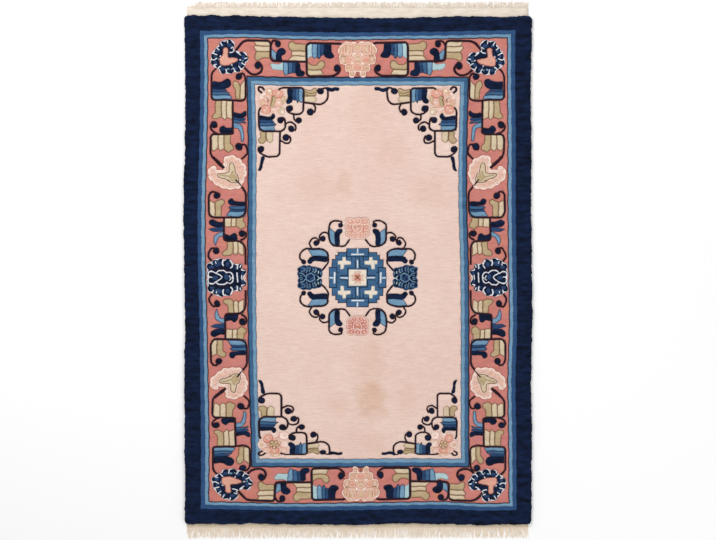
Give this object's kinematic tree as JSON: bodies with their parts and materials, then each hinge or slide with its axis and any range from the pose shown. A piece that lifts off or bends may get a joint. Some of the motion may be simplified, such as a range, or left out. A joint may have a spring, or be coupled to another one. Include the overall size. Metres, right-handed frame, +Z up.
{
  "type": "peking rug",
  "caption": "Hand-knotted wool rug lying flat, with a carved border and guard stripes and a fringed cotton web at each end.",
  "frame": {"origin": "centre of the rug on its underside, under the middle of its length from fringe to fringe", "axes": "+X across the rug, +Y along its length towards the wider web, +Z up out of the pile"},
  "size_m": [1.2268, 1.8885, 0.0123],
  "materials": {
    "pile_wool": "sheared wool pile",
    "web_cotton": "plain-woven cotton"
  },
  "bodies": {
    "root": {"rug_pile": "pile_wool", "web_fringe_top": "web_cotton", "web_fringe_bottom": "web_cotton"}
  },
  "joints": []
}
